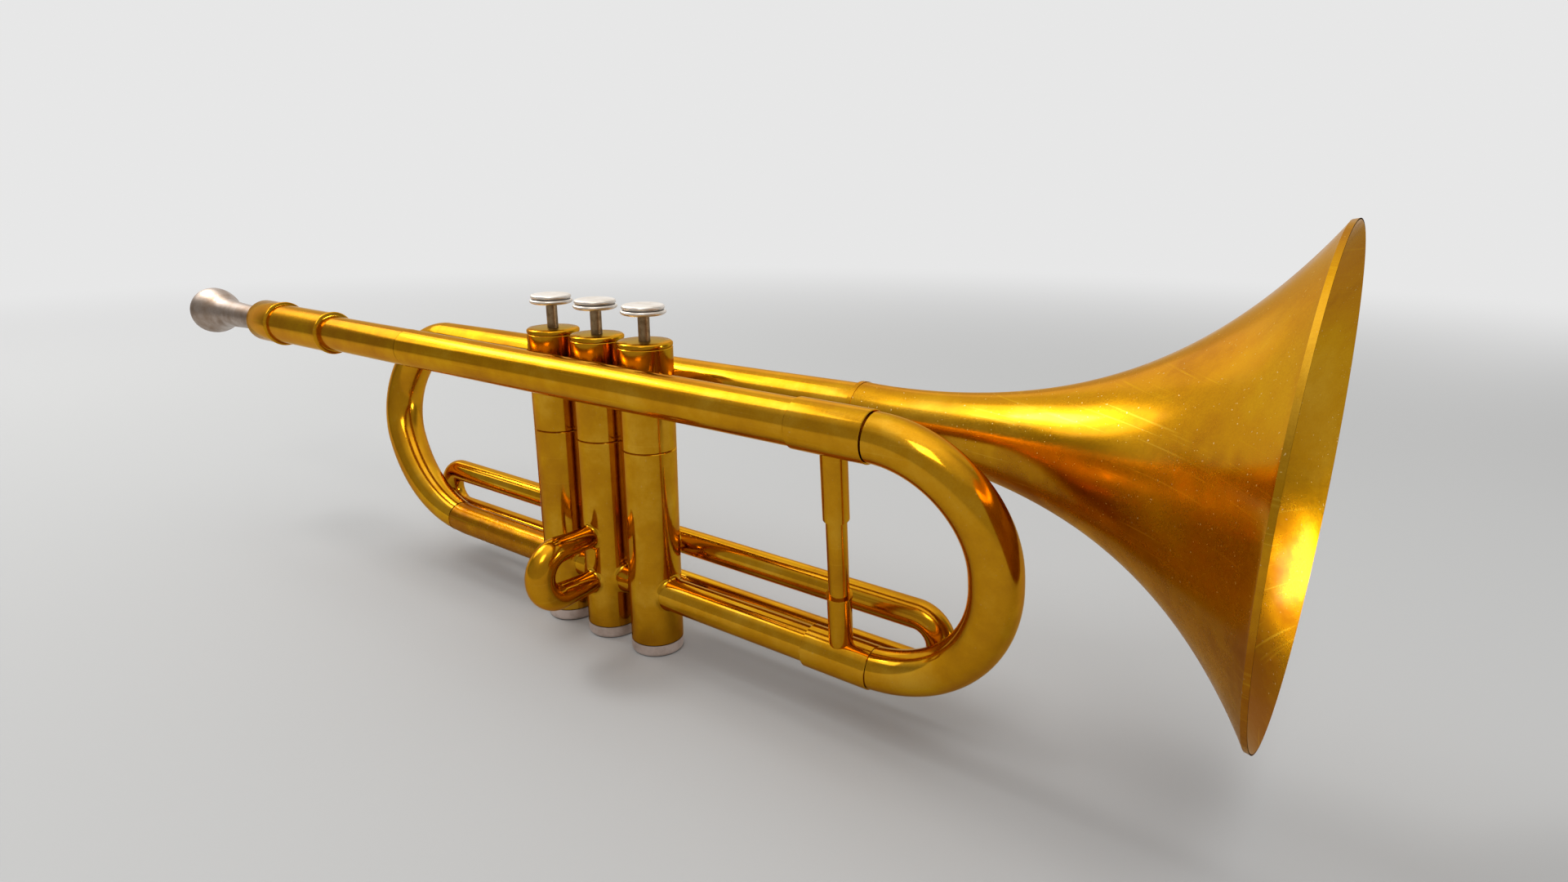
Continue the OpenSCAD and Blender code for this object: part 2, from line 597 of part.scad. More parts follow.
module finger_button(i) color(silver) translate([valve_x[i], 0, button_z]) {
  tier_z = button_h * 0.56;
  rotate_extrude() polygon([
    [stem_r, 0], [stem_r + 1.2, 0], [button_r - 1.4, 0.25], [button_r - 0.4, 0.65], [button_r, 1.15], [button_r - 0.25, 1.6],
    [button_top_r - 0.35, tier_z - 0.1], [button_top_r - 0.35, tier_z + 0.05], [button_top_r, tier_z + 0.45],
    [button_top_r - 0.15, button_h - 0.55], [button_top_r - 0.6, button_h - 0.15], [button_top_r - 1.2, button_h],
    [0, button_h], [0, 1.4], [stem_r, 1.4]]);
}

// Valve spring: one unbroken wire, ground flat to its ends by resting turns that close up.
spring_rings = 8;
spring_sides = 6;
spring_end_gap = 0.15;
spring_low = guide_top_z + spring_wire_r + spring_end_gap;
spring_high = barrel_under_z - spring_wire_r - spring_end_gap;
spring_count = spring_turns * spring_rings;
function spring_point(i) = let (a = 360 * i / spring_rings)
  [spring_r * cos(a), spring_r * sin(a), spring_low + (spring_high - spring_low) * i / spring_count];
function spring_vertex(i, j) = let (a = 360 * i / spring_rings, b = 360 * j / spring_sides)
  [(spring_r + spring_wire_r * cos(b)) * cos(a), (spring_r + spring_wire_r * cos(b)) * sin(a),
   spring_point(i)[2] + spring_wire_r * sin(b)];
spring_pitch_gap = (spring_high - spring_low) / spring_turns - 2 * spring_wire_r;
echo(least_gap_between_spring_turns = spring_pitch_gap);

module valve_spring(i) color(steel) translate([valve_x[i], 0, 0]) polyhedron(
  points = [for (i = [0 : spring_count]) for (j = [0 : spring_sides - 1]) spring_vertex(i, j)],
  faces = concat(
    [for (i = [0 : spring_count - 1]) for (j = [0 : spring_sides - 1]) let (k = (j + 1) % spring_sides, m = i * spring_sides)
      [m + j, m + k, m + spring_sides + k]],
    [for (i = [0 : spring_count - 1]) for (j = [0 : spring_sides - 1]) let (k = (j + 1) % spring_sides, m = i * spring_sides)
      [m + j, m + spring_sides + k, m + spring_sides + j]],
    [for (j = [1 : spring_sides - 2]) [0, j + 1, j]],
    [for (j = [1 : spring_sides - 2]) let (m = spring_count * spring_sides) [m, m + j, m + j + 1]]));

// First and third valve slides
slide_bend = (slide_high_z - slide_low_z) / 2;

module side_outer(i, dir, seam_x) color(brass) for (z = [slide_low_z, slide_high_z]) difference() {
  union() {
    translate([valve_x[i], slide_y, z]) rotate([0, 90 * dir, 0]) translate([0, 0, -slide_r])
      cylinder(r = slide_r, h = abs(seam_x - valve_x[i]) + slide_r);
    translate([valve_x[i], 0, z]) rotate([-90, 0, 0]) cylinder(r = port_r + tube_wall, h = slide_y);
  }
  translate([valve_x[i], slide_y, z]) rotate([0, 90 * dir, 0]) translate([0, 0, tube_wall - slide_r])
    cylinder(r = slide_r - tube_wall, h = abs(seam_x - valve_x[i]) + slide_r + over);
  translate([valve_x[i], 0, z]) rotate([-90, 0, 0]) cylinder(r = port_r, h = slide_y);
  casing_space(i);
}

module side_bow(turn, far_x, seam_x, leg_len) color(brass) translate([0, slide_y, slide_low_z]) rotate([0, 0, turn]) {
  bow(far_x, 2 * slide_bend, slide_bend, slide_bend, seam_x + seam_gap, seam_x + seam_gap,
      slide_r, slide_leg_r - tube_wall);
  for (z = [0, 2 * slide_bend])
    pipe_x(seam_x + seam_gap - leg_len, seam_x + seam_gap, 0, z, slide_leg_r, slide_leg_r - tube_wall);
}

module first_slide_outer() side_outer(0, -1, first_seam_x);
module third_slide_outer() side_outer(2, 1, third_seam_x);
module first_slide_bow() side_bow(180, -first_bow_x, -first_seam_x, first_leg_len);
module third_slide_bow() side_bow(0, third_bow_x, third_seam_x, third_leg_len);

// Second valve slide, towards -Y: built along X and turned
second_bend = (second_high_z - second_low_z) / 2;

module second_slide_outer() color(brass) for (z = [second_low_z, second_high_z]) difference() {
  rotate([0, 0, -90]) pipe_x(0, -second_seam_y, 0, z, second_r, second_r - tube_wall);
  casing_space(1);
}

module second_slide_bow() color(brass) rotate([0, 0, -90]) translate([0, 0, second_low_z]) {
  seam = -second_seam_y + seam_gap;
  bow(-second_bow_y, 2 * second_bend, second_bend, second_bend, seam, seam, second_r, second_leg_r - tube_wall);
  for (z = [0, 2 * second_bend]) pipe_x(seam - second_leg_len, seam, 0, z, second_leg_r, second_leg_r - tube_wall);
}

mouthpiece();
mouthpiece_receiver();
receiver_tube();
leadpipe();
upper_sleeve();
lower_sleeve();
front_branch();
tuning_bow();
tuning_upper_leg();
tuning_lower_leg();
brace_upper_socket();
brace_rod();
brace_lower_socket();
bell_branch();
bell_bow();
bell_tail();
bell_ferrule();
bell_flare();
valve_casing(0, 1, slide_high_z, slide_low_z);  // valve_casing_1
valve_casing(1, -1, second_high_z, second_low_z);  // valve_casing_2
valve_casing(2, 1, slide_high_z, slide_low_z);  // valve_casing_3
upper_casing(0);  // upper_casing_1
upper_casing(1);  // upper_casing_2
upper_casing(2);  // upper_casing_3
top_cap(0);  // top_cap_1
top_cap(1);  // top_cap_2
top_cap(2);  // top_cap_3
bottom_cap(0);  // bottom_cap_1
bottom_cap(1);  // bottom_cap_2
bottom_cap(2);  // bottom_cap_3
cap_felts();
piston(0, 1, slide_high_z, slide_low_z);  // piston_1
piston(1, -1, second_high_z, second_low_z);  // piston_2
piston(2, 1, slide_high_z, slide_low_z);  // piston_3
valve_guide(0);  // valve_guide_1
valve_guide(1);  // valve_guide_2
valve_guide(2);  // valve_guide_3
valve_spring(0);  // valve_spring_1
valve_spring(1);  // valve_spring_2
valve_spring(2);  // valve_spring_3
valve_stem(0);  // valve_stem_1
valve_stem(1);  // valve_stem_2
valve_stem(2);  // valve_stem_3
finger_button(0);  // finger_button_1
finger_button(1);  // finger_button_2
finger_button(2);  // finger_button_3
knuckle(0);  // knuckle_1_2
knuckle(1);  // knuckle_2_3
first_slide_outer();
first_slide_bow();
second_slide_outer();
second_slide_bow();
third_slide_outer();
third_slide_bow();
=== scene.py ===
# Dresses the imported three-valve trumpet for its picture: brass with its wear, silver fittings,
# the flared bell, the bows, the springs and the small trim, on a pale studio floor.
import json
import math
import bmesh
import bpy
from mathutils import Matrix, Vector


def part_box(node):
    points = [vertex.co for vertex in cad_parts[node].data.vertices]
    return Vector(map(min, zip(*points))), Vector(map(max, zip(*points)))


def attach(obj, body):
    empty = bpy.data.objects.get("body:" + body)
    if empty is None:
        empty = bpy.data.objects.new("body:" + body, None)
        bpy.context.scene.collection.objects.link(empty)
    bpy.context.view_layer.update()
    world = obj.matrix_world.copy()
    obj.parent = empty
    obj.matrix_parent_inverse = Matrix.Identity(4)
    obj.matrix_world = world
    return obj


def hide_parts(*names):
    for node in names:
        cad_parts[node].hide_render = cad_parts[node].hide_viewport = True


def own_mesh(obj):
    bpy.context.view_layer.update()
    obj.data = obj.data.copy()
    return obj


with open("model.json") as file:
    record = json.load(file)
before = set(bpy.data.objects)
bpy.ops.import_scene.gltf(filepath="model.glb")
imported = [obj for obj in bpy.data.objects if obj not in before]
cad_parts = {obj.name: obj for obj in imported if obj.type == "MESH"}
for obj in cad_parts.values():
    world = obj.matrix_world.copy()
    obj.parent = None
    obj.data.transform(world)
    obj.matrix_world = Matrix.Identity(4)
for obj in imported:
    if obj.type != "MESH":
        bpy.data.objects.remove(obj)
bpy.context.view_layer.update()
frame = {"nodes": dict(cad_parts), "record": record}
cadNodes = frame["nodes"]
print("frame loaded:", len(cadNodes), "pieces")


# small helpers for node trees

def addNode(tree, kind, **settings):
    node = tree.nodes.new(kind)
    for key, value in settings.items():
        setattr(node, key, value)
    return node


def feed(tree, socket, value):  # a plain value, or the socket that it comes from
    if isinstance(value, bpy.types.NodeSocket):
        tree.links.new(value, socket)
    else:
        socket.default_value = value


def feedAll(tree, node, values):
    for name, value in values.items():
        feed(tree, node.inputs[name], value)


def maths(tree, operation, *values):
    node = addNode(tree, "ShaderNodeMath", operation=operation)
    for socket, value in zip(node.inputs, values):
        feed(tree, socket, value)
    return node.outputs[0]


def added(tree, first, second):
    return maths(tree, "ADD", first, second)


def less(tree, first, second):
    return maths(tree, "SUBTRACT", first, second)


def times(tree, first, second):
    return maths(tree, "MULTIPLY", first, second)


def swing(tree, noise, reach):  # a noise from 0 to 1 as half of reach below zero to half of it above
    return times(tree, less(tree, noise, 0.5), reach)


def vectorMaths(tree, operation, *values, result="Vector"):
    node = addNode(tree, "ShaderNodeVectorMath", operation=operation)
    for socket, value in zip(node.inputs, values):
        feed(tree, socket, value)
    return node.outputs[result]


def partsOf(tree, vector):
    node = addNode(tree, "ShaderNodeSeparateXYZ")
    feed(tree, node.inputs[0], vector)
    return node.outputs


def softStep(tree, value, fromStart, fromEnd, toStart, toEnd):
    node = addNode(tree, "ShaderNodeMapRange", interpolation_type="SMOOTHSTEP")
    for socket, number in zip(node.inputs, (value, fromStart, fromEnd, toStart, toEnd)):
        feed(tree, socket, number)
    return node.outputs[0]


def ramp(tree, factor, *stops):  # stops are (place, level) or (place, colour)
    node = addNode(tree, "ShaderNodeValToRGB")
    points = node.color_ramp.elements
    while len(points) < len(stops):
        points.new(0.5)
    for point, (place, tone) in zip(points, stops):
        point.position = place
        point.color = (tone, tone, tone, 1) if isinstance(tone, (int, float)) else (*tone, 1)
    feed(tree, node.inputs[0], factor)
    return node.outputs[0]


def mixColour(tree, factor, first, second):
    node = addNode(tree, "ShaderNodeMix", data_type="RGBA")
    feed(tree, node.inputs[0], factor)
    for socket, tone in ((node.inputs[6], first), (node.inputs[7], second)):
        feed(tree, socket, tone if isinstance(tone, bpy.types.NodeSocket) else (*tone, 1))
    return node.outputs[2]


def noiseOn(tree, where, scale, detail, roughness=0.55):
    node = addNode(tree, "ShaderNodeTexNoise")
    feedAll(tree, node, {"Vector": where, "Scale": scale, "Detail": detail, "Roughness": roughness})
    return node.outputs["Fac"]


def stretched(tree, where, scale, turn=(0, 0, 0)):
    node = addNode(tree, "ShaderNodeMapping")
    feedAll(tree, node, {"Vector": where, "Rotation": turn, "Scale": scale})
    return node.outputs[0]


def nearCorners(tree, distance):  # 1 in the open, towards 0 in a corner
    node = addNode(tree, "ShaderNodeAmbientOcclusion", samples=6)
    node.inputs["Distance"].default_value = distance
    return node.outputs["AO"]


def bumpOn(tree, height, strength, distance, normal=None):
    node = addNode(tree, "ShaderNodeBump")
    feedAll(tree, node, {"Strength": strength, "Distance": distance, "Height": height})
    if normal:
        feed(tree, node.inputs["Normal"], normal)
    return node.outputs[0]


def newMaterial(name):
    material = bpy.data.materials.new(name)
    material.use_nodes = True
    return material, material.node_tree, material.node_tree.nodes["Principled BSDF"]


# worn lacquered brass: golden, paler where it is rubbed, brown where it has tarnished, near black in corners and
# between parts as painted shade (partly grime), and on the bell browner underneath as a painted reflection of a dark
# ground

tubeBrassLook = dict(
    golden=(0.61, 0.278, 0.004), pale=(0.84, 0.50, 0.045), brown=(0.32, 0.095, 0.002), shadeAndGrimeTone=(0.030, 0.007, 0.0005),
    cloud=38.0, mottle=240.0, sand=1700.0, uneven=0.16, rubbedAt=0.42, rubbed=0.5, tarnishAt=0.56, tarnish=0.45,
    streak=(40, 700, 700), rough=0.135, spread=0.08, corner=0.0018, cornerUneven=0.15,
    low=0.0, unshadedHeight=0.125, fullShadeHeight=0.045,
    scratch=0.3, hairline=(22, 22, 1400), hairlineTurn=(0.15, 0.5, 0.0), hairlinePatch=30.0,
    dust=0.25, speck=1300.0, speckTone=(0.85, 0.78, 0.5), satinTop=0.0, satinTone=(0.34, 0.26, 0.13),
    tint=(0.80, 0.55, 0.16), coat=0.11, coatRough=0.12,
    dents=0.10, dent=46.0, dentDepth=0.0012, grain=0.15, grainDepth=0.00003)
casingBrassLook = dict(tubeBrassLook, golden=(0.545, 0.250, 0.003), streak=(700, 700, 40), cloud=52.0, scratch=0.15,
                       corner=0.0075)
capBrassLook = dict(casingBrassLook, corner=0.0012, satinTop=0.85)
# the bell's low paints its underside browner below the given heights, a painted reflection of a dark ground
bellBrassLook = dict(tubeBrassLook, cloud=20.0, tarnishAt=0.585, tarnish=0.85, streak=(60, 420, 420), rough=0.20,
                     spread=0.10, low=0.22, scratch=0.45, dust=0.7, dents=0.35)


def makeBrass(name, look):
    material, tree, shader = newMaterial(name)
    coordinates = addNode(tree, "ShaderNodeTexCoord")
    place = coordinates.outputs["Object"]
    clouds = noiseOn(tree, place, look["cloud"], 5.0, 0.6)
    mottle = noiseOn(tree, place, look["mottle"], 4.0, 0.6)
    sand = noiseOn(tree, place, look["sand"], 2.0, 0.7)
    streak = noiseOn(tree, stretched(tree, place, look["streak"]), 1.0, 3.0, 0.6)
    blotch = added(tree, clouds, swing(tree, mottle, look["uneven"]))
    if look["low"]:  # painted reflection of a dark ground: the underside is browner than the top
        height = partsOf(tree, place)[2]
        blotch = added(tree, blotch, softStep(tree, height, look["unshadedHeight"], look["fullShadeHeight"], 0.0, look["low"]))
    rubbed = ramp(tree, blotch, (look["rubbedAt"] - 0.14, look["rubbed"]), (look["rubbedAt"] + 0.08, 0.0))
    tarnishAndUnderShade = ramp(tree, blotch, (look["tarnishAt"] - 0.06, 0.0), (look["tarnishAt"] + 0.16, look["tarnish"]))
    colour = mixColour(tree, tarnishAndUnderShade, mixColour(tree, rubbed, look["golden"], look["pale"]), look["brown"])
    colour = mixColour(tree, ramp(tree, sand, (0.30, 0.12), (0.60, 0.0)), colour, look["brown"])
    # painted shade: the ambient occlusion darkens corners, grooves and the gaps between parts to near black, partly as
    # grime
    shadeAndGrimeMask = ramp(tree, added(tree, nearCorners(tree, look["corner"]), swing(tree, mottle, look["cornerUneven"])),
                  (0.12, 0.92), (0.52, 0.0))
    colour = mixColour(tree, shadeAndGrimeMask, colour, look["shadeAndGrimeTone"])
    rough = added(tree, look["rough"] - 0.5 * look["spread"], times(tree, streak, look["spread"]))
    rough = added(tree, rough, times(tree, added(tree, tarnishAndUnderShade, shadeAndGrimeMask), 0.16))
    rough = added(tree, rough, swing(tree, sand, 0.12))
    # straight hairlines, kept to a few patches, and dust
    hairlines = noiseOn(tree, stretched(tree, place, look["hairline"], look["hairlineTurn"]), 1.0, 1.0)
    patches = noiseOn(tree, place, look["hairlinePatch"], 2.0)
    scratches = times(tree, times(tree, ramp(tree, hairlines, (0.63, 0.0), (0.70, 1.0)),
                                  ramp(tree, patches, (0.48, 0.0), (0.60, 1.0))), look["scratch"])
    colour = mixColour(tree, times(tree, scratches, 0.7), colour, look["pale"])
    specks = times(tree, ramp(tree, noiseOn(tree, place, look["speck"], 1.0), (0.735, 0.0), (0.775, 1.0)), look["dust"])
    colour = mixColour(tree, times(tree, specks, 0.5), colour, look["speckTone"])
    rough = added(tree, rough, times(tree, specks, 0.3))
    if look["satinTop"]:  # the flat tops are brushed, duller and greyer than the sides
        top = ramp(tree, partsOf(tree, coordinates.outputs["Normal"])[2], (0.96, 0.0), (0.985, look["satinTop"]))
        colour = mixColour(tree, top, colour, look["satinTone"])
        rough = added(tree, rough, times(tree, top, 0.22))
    # soft, shallow dents and waves of the sheet, and on them the grain and the scratches
    dents = bumpOn(tree, noiseOn(tree, place, look["dent"], 1.0, 0.4), look["dents"], look["dentDepth"])
    relief = added(tree, times(tree, streak, 0.5), less(tree, times(tree, sand, 0.5), scratches))
    feedAll(tree, shader, {"Base Color": colour, "Roughness": rough, "Metallic": 1.0,
                           "Specular Tint": (*look["tint"], 1),
                           "Coat Weight": look["coat"], "Coat Roughness": look["coatRough"],
                           "Normal": bumpOn(tree, relief, look["grain"], look["grainDepth"], dents)})
    return material


# silver plate and steel: satin, warm grey, with tan stains

silverLook = dict(clean=(0.40, 0.315, 0.255), stained=(0.23, 0.145, 0.085), shadeAndGrimeTone=(0.03, 0.022, 0.015), stain=95.0,
                  amount=0.50, rough=0.34, spread=0.12, grain=(90, 700, 700), corner=0.0012, relief=0.3, depth=0.00008)
mattSilverLook = dict(silverLook, clean=(0.74, 0.62, 0.56), stained=(0.52, 0.41, 0.34), rough=0.46, stain=130.0)
buttonLook = dict(silverLook, clean=(0.78, 0.71, 0.63), stained=(0.60, 0.52, 0.43), stain=170.0, grain=(600, 600, 600))
nickelLook = dict(silverLook, clean=(0.62, 0.61, 0.58), stained=(0.45, 0.42, 0.38), rough=0.2, grain=(900, 900, 900))
steelLook = dict(silverLook, clean=(0.31, 0.21, 0.11), stained=(0.13, 0.075, 0.03), rough=0.38, stain=300.0,
                 grain=(900, 900, 60))
springLook = dict(steelLook, clean=(0.50, 0.46, 0.42), stained=(0.30, 0.22, 0.15), rough=0.3, stain=500.0)


def makeSilver(name, look):
    material, tree, shader = newMaterial(name)
    place = addNode(tree, "ShaderNodeTexCoord").outputs["Object"]
    stains = noiseOn(tree, place, look["stain"], 6.0, 0.65)
    grain = noiseOn(tree, stretched(tree, place, look["grain"]), 1.0, 4.0, 0.6)
    amount = ramp(tree, stains, (look["amount"] - 0.08, 0.0), (look["amount"] + 0.16, 0.85))
    # painted shade: the ambient occlusion darkens corners and grooves, partly as grime
    shadeAndGrimeMask = ramp(tree, nearCorners(tree, look["corner"]), (0.15, 0.9), (0.6, 0.0))
    colour = mixColour(tree, shadeAndGrimeMask, mixColour(tree, amount, look["clean"], look["stained"]), look["shadeAndGrimeTone"])
    rough = added(tree, look["rough"] - 0.5 * look["spread"], times(tree, grain, look["spread"]))
    feedAll(tree, shader, {"Base Color": colour, "Metallic": 1.0,
                           "Roughness": added(tree, times(tree, amount, 0.12), rough),
                           "Normal": bumpOn(tree, grain, look["relief"], look["depth"])})
    return material


feltLook = dict(dark=(0.03, 0.05, 0.035), light=(0.12, 0.16, 0.12), fuzz=1800.0, rough=0.95)


def makeFelt(name, look):
    material, tree, shader = newMaterial(name)
    place = addNode(tree, "ShaderNodeTexCoord").outputs["Object"]
    fuzz = noiseOn(tree, place, look["fuzz"], 5.0, 0.7)
    feedAll(tree, shader, {"Base Color": mixColour(tree, fuzz, look["dark"], look["light"]),
                           "Roughness": look["rough"]})
    return material


finishes = {
    "tube_brass": makeBrass("tubeBrass", tubeBrassLook),
    "casing_brass": makeBrass("casingBrass", casingBrassLook),
    "cap_brass": makeBrass("capBrass", capBrassLook),
    "bell_brass": makeBrass("bellBrass", bellBrassLook),
    "polished_silver": makeSilver("satinSilver", silverLook),
    "matt_silver": makeSilver("mattSilver", mattSilverLook),
    "button_silver": makeSilver("buttonSilver", buttonLook),
    "piston_nickel": makeSilver("groundNickel", nickelLook),
    "stem_steel": makeSilver("stemSteel", steelLook),
    "spring_steel": makeSilver("springSteel", springLook),
    "felt": makeFelt("capFelt", feltLook),
}
slotOf = {part["node"]: part["material_slot"] for part in frame["record"]["subparts"]}


def finishFor(node):
    return finishes["button_silver" if node.startswith("finger_button") else slotOf[node]]


for name, piece in cadNodes.items():
    for slot in piece.material_slots:
        slot.material = finishFor(name)
print("finishes made:", len(finishes))


# making a new piece: a mesh, what carries it, and the piece of the frame that it stands for

millimetre = 0.001
sharpFrom = 40  # degrees between two faces


def putPiece(name, mesh, body, finish, *nodes):
    piece = bpy.data.objects.new(name, mesh)
    bpy.context.scene.collection.objects.link(piece)
    mesh.materials.clear()
    mesh.materials.append(finishes[finish])
    mesh.polygons.foreach_set("use_smooth", [True] * len(mesh.polygons))
    mesh.set_sharp_from_angle(angle=math.radians(sharpFrom))
    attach(piece, body)
    if nodes:
        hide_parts(*nodes)
    return piece


def meshFrom(shape, outward=True):
    if outward:
        bmesh.ops.recalc_face_normals(shape, faces=shape.faces)
    mesh = bpy.data.meshes.new("shape")
    shape.to_mesh(mesh)
    shape.free()
    return mesh


def joined(meshes, outward=False):  # several meshes as one
    shape = bmesh.new()
    for mesh in meshes:
        shape.from_mesh(mesh)
    return meshFrom(shape, outward)


def smoothLine(points, steps):  # a soft line through the points, which are pairs or triples
    line = []
    for k in range(len(points) - 1):
        a, b, c, d = (Vector(points[min(max(k + j, 0), len(points) - 1)]) for j in (-1, 0, 1, 2))
        for i in range(steps):
            t = i / steps
            line.append(0.5 * (2 * b + (c - a) * t + (2 * a - 5 * b + 4 * c - d) * t * t
                               + (3 * b - a - 3 * c + d) * t ** 3))
    return line + [Vector(points[-1])]


def turned(outline, centre, sides, along="X"):
    # the outline is (place along the axis, radius) in millimetres, and runs round to its start
    shape = bmesh.new()
    rings = []
    for s, r in outline:
        spots = [(s, r * math.cos(t), r * math.sin(t)) for t in (2 * math.pi * k / sides for k in range(sides))]
        spots = spots[:1] if r < 1e-6 else spots
        if along == "Z":
            spots = [(u, v, w) for w, u, v in spots]
        rings.append([shape.verts.new((Vector(p) + Vector(centre)) * millimetre) for p in spots])
    pairs = list(zip(rings, rings[1:]))
    if min(len(rings[0]), len(rings[-1])) > 1:
        pairs.append((rings[-1], rings[0]))
    for low, high in pairs:
        for k in range(sides):
            m = (k + 1) % sides
            corners = [low[k % len(low)], low[m % len(low)], high[m % len(high)], high[k % len(high)]]
            corners = [c for n, c in enumerate(corners) if c not in corners[:n]]
            if len(corners) > 2:
                shape.faces.new(corners)
    return meshFrom(shape)


def grown(tree, source=None, **sizes):  # what a node tree makes of a source mesh, as a plain mesh
    holder = bpy.data.objects.new("growing", source or bpy.data.meshes.new("growing"))
    bpy.context.scene.collection.objects.link(holder)
    nodes = holder.modifiers.new("growing", "NODES")
    nodes.node_group = tree
    for item in tree.interface.items_tree:
        if item.in_out == "INPUT" and item.name in sizes:
            nodes[item.identifier] = sizes[item.name]
    holder.update_tag()
    mesh = bpy.data.meshes.new_from_object(holder.evaluated_get(bpy.context.evaluated_depsgraph_get()))
    bpy.data.objects.remove(holder)
    return mesh


def newTree(name, **inputs):
    tree = bpy.data.node_groups.new(name, "GeometryNodeTree")
    tree.interface.new_socket(name="Geometry", in_out="INPUT", socket_type="NodeSocketGeometry")
    tree.interface.new_socket(name="Geometry", in_out="OUTPUT", socket_type="NodeSocketGeometry")
    for label, kind in inputs.items():
        tree.interface.new_socket(name=label, in_out="INPUT", socket_type="NodeSocket" + kind)
    return tree, addNode(tree, "NodeGroupInput").outputs, addNode(tree, "NodeGroupOutput").inputs[0]


def finishTree(tree, shape, material, out):
    smooth = addNode(tree, "GeometryNodeSetShadeSmooth")
    whole = addNode(tree, "GeometryNodeRealizeInstances")
    coat = addNode(tree, "GeometryNodeSetMaterial")
    feed(tree, smooth.inputs["Geometry"], shape)
    feed(tree, whole.inputs[0], smooth.outputs[0])
    feedAll(tree, coat, {"Geometry": whole.outputs[0], "Material": material})
    feed(tree, out, coat.outputs[0])


def tubeAlong(tree, route, sides, radius=1.0, scale=1.0):  # a closed round tube along a curve
    circle = addNode(tree, "GeometryNodeCurvePrimitiveCircle")
    feedAll(tree, circle, {"Resolution": sides, "Radius": radius})
    tube = addNode(tree, "GeometryNodeCurveToMesh")
    feedAll(tree, tube, {"Curve": route, "Profile Curve": circle.outputs[0], "Scale": scale, "Fill Caps": True})
    return tube.outputs[0]


# bent tubes: a round section that changes its radius evenly along a route

def makeTubeTree():
    tree, given, out = newTree("bentTube", startRadius="Float", middleRadius="Float", endRadius="Float", sides="Int",
                               finish="Material")
    start, middle, end = given["startRadius"], given["middleRadius"], given["endRadius"]
    t = addNode(tree, "GeometryNodeSplineParameter").outputs["Factor"]
    rest = less(tree, 1.0, t)
    swell = times(tree, times(tree, t, rest), 4.0)
    even = added(tree, times(tree, start, rest), times(tree, end, t))
    halfWay = times(tree, added(tree, start, end), 0.5)
    radius = added(tree, even, times(tree, swell, less(tree, middle, halfWay)))
    route = addNode(tree, "GeometryNodeMeshToCurve")
    feed(tree, route.inputs[0], given["Geometry"])
    finishTree(tree, tubeAlong(tree, route.outputs[0], given["sides"], scale=radius), given["finish"], out)
    return tree


tubeTree = makeTubeTree()


def bentTube(route, radii, sides=64):  # route in millimetres, radii at its start, middle and end
    line = bpy.data.meshes.new("route")
    line.from_pydata([[v * millimetre for v in p] for p in route], [(k, k + 1) for k in range(len(route) - 1)], [])
    start, middle, end = (r * millimetre for r in radii)
    return grown(tubeTree, line, startRadius=start, middleRadius=middle, endRadius=end, sides=sides,
                 finish=finishes["tube_brass"])


def arc(centreX, centreH, radius, fromAngle, toAngle, step=3.0):  # angle 0 points along +X, 90 upwards
    count = max(2, round(abs(toAngle - fromAngle) / step))
    angles = [math.radians(fromAngle + (toAngle - fromAngle) * k / count) for k in range(count + 1)]
    return [(centreX + radius * math.cos(a), centreH + radius * math.sin(a)) for a in angles]


def leanOver(flat, low, high):  # from (x, height) in the bow's own plane to the place between the two lines (y, z)
    span = math.hypot(high[0] - low[0], high[1] - low[1])
    side, up = (high[0] - low[0]) / span, (high[1] - low[1]) / span
    return [(x, low[0] + side * h, low[1] + up * h) for x, h in flat]


def square(flat, run=0.1):  # the same route, but its first section stands square to X
    (x, h), rest = flat[0], flat[1:]
    return [(x, h), (x + run, h), *rest]


lines = dict(low=(-1.0, 25.0), mouthpipe=(-18.1, 107.1), bell=(19.05, 102.2))  # (y, z) of the tubes along X
tuningBow = dict(far=164.9, upper=35.0, lower=46.4, lowerSeam=123.2, radii=(6.95, 7.55, 7.3))
bellBow = dict(far=-155.2, upper=31.5, lowerSeam=-99.0, radii=(6.72, 8.25, 8.0))


def makeTuningBow(size):
    low, high = lines["low"], lines["mouthpipe"]
    height = math.hypot(high[0] - low[0], high[1] - low[1])
    upper, lower = size["upper"], size["lower"]
    start = size["far"] - lower
    first = math.degrees(math.asin((size["lowerSeam"] - start) / lower)) - 90
    flat = square(arc(start, lower, lower, first, 0)) + arc(size["far"] - upper, height - upper, upper, 0, 90)
    mesh = bentTube(leanOver(flat, low, high), size["radii"])
    putPiece("tuningBow", mesh, "tuning_slide", "tube_brass", "tuning_bow")


def makeBellBow(size):  # its two arcs meet where a 3-4-5 triangle puts them, which fixes the lower radius
    low, high = lines["low"], lines["bell"]
    height = math.hypot(high[0] - low[0], high[1] - low[1])
    upper = size["upper"]
    lower = 2.5 * height - 4 * upper
    start = -size["far"] - 0.8 * lower - 0.2 * upper
    first = math.degrees(math.asin((-size["lowerSeam"] - start) / lower)) - 90
    turn = -math.degrees(math.atan2(3, 4))
    flat = square(arc(start, lower, lower, first, turn))
    flat += arc(start + 0.8 * (lower - upper), lower - 0.6 * (lower - upper), upper, turn, 90)[1:]
    route = leanOver([(-x, h) for x, h in flat], low, high)
    putPiece("bellBow", bentTube(route, size["radii"]), "horn", "tube_brass", "bell_bow")


makeTuningBow(tuningBow)
makeBellBow(bellBow)
print("bows bent")


# the valve slides' bows, and the second slide's two short tubes, which narrow towards the casing

